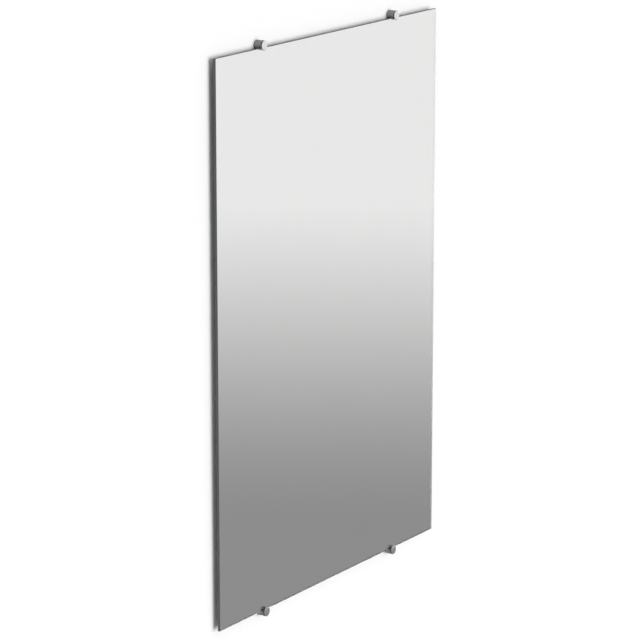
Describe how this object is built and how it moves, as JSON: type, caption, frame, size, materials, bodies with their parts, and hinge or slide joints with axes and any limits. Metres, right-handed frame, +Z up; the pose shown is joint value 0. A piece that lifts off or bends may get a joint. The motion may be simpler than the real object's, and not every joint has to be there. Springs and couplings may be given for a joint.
{
  "type": "bathroom mirror",
  "caption": "Frameless rectangular wall mirror, gripped at its top and bottom edges by round screw-down metal clips on hanger bolts in wall plugs.",
  "frame": {"origin": "on the face of the wall, in the middle of the rectangle of the four fixing points", "axes": "+Z up, +Y into the wall, so the mirror faces -Y; +X to the right for a person who looks into the mirror"},
  "size_m": [0.7, 0.0628, 1.025],
  "materials": {
    "glass": "polished",
    "silver": "polished",
    "backing_paint": "satin",
    "clip_steel": "satin",
    "barrel_steel": "satin",
    "washer_rubber": "matte",
    "pad_plastic": "satin",
    "zinc_steel": "satin",
    "nylon": "satin"
  },
  "bodies": {
    "wall_set": {"mirror_glass": "glass", "silver_film": "silver", "backing_paint": "backing_paint", "wall_plug_top_left": "nylon", "hanger_bolt_top_left": "zinc_steel", "barrel_top_left": "barrel_steel", "seat_pad_top_left": "pad_plastic", "wall_plug_top_right": "nylon", "hanger_bolt_top_right": "zinc_steel", "barrel_top_right": "barrel_steel", "seat_pad_top_right": "pad_plastic", "wall_plug_bottom_left": "nylon", "hanger_bolt_bottom_left": "zinc_steel", "barrel_bottom_left": "barrel_steel", "seat_pad_bottom_left": "pad_plastic", "wall_plug_bottom_right": "nylon", "hanger_bolt_bottom_right": "zinc_steel", "barrel_bottom_right": "barrel_steel", "seat_pad_bottom_right": "pad_plastic"},
    "front_washer_top_left": {"front_washer_top_left": "washer_rubber"},
    "cap_top_left": {"cap_top_left": "clip_steel"},
    "front_washer_top_right": {"front_washer_top_right": "washer_rubber"},
    "cap_top_right": {"cap_top_right": "clip_steel"},
    "front_washer_bottom_left": {"front_washer_bottom_left": "washer_rubber"},
    "cap_bottom_left": {"cap_bottom_left": "clip_steel"},
    "front_washer_bottom_right": {"front_washer_bottom_right": "washer_rubber"},
    "cap_bottom_right": {"cap_bottom_right": "clip_steel"}
  },
  "joints": [
    {"name": "cap_top_left_travel", "type": "slide", "parent": "wall_set", "child": "front_washer_top_left", "axis": [0, -1, 0], "range_m": [0, 0.004]},
    {"name": "cap_top_left_turn", "type": "hinge", "parent": "front_washer_top_left", "child": "cap_top_left", "pos_m": [-0.21, -0.016, 0.504], "axis": [0, -1, 0], "range_deg": [0, 1800]},
    {"name": "cap_top_right_travel", "type": "slide", "parent": "wall_set", "child": "front_washer_top_right", "axis": [0, -1, 0], "range_m": [0, 0.004]},
    {"name": "cap_top_right_turn", "type": "hinge", "parent": "front_washer_top_right", "child": "cap_top_right", "pos_m": [0.21, -0.016, 0.504], "axis": [0, -1, 0], "range_deg": [0, 1800]},
    {"name": "cap_bottom_left_travel", "type": "slide", "parent": "wall_set", "child": "front_washer_bottom_left", "axis": [0, -1, 0], "range_m": [0, 0.004]},
    {"name": "cap_bottom_left_turn", "type": "hinge", "parent": "front_washer_bottom_left", "child": "cap_bottom_left", "pos_m": [-0.21, -0.016, -0.504], "axis": [0, -1, 0], "range_deg": [0, 1800]},
    {"name": "cap_bottom_right_travel", "type": "slide", "parent": "wall_set", "child": "front_washer_bottom_right", "axis": [0, -1, 0], "range_m": [0, 0.004]},
    {"name": "cap_bottom_right_turn", "type": "hinge", "parent": "front_washer_bottom_right", "child": "cap_bottom_right", "pos_m": [0.21, -0.016, -0.504], "axis": [0, -1, 0], "range_deg": [0, 1800]}
  ],
  "couplings": [
    {"joint": "cap_top_left_travel", "follows": "cap_top_left_turn", "m_per_rad": 0.00012732},
    {"joint": "cap_top_right_travel", "follows": "cap_top_right_turn", "m_per_rad": 0.00012732},
    {"joint": "cap_bottom_left_travel", "follows": "cap_bottom_left_turn", "m_per_rad": 0.00012732},
    {"joint": "cap_bottom_right_travel", "follows": "cap_bottom_right_turn", "m_per_rad": 0.00012732}
  ]
}
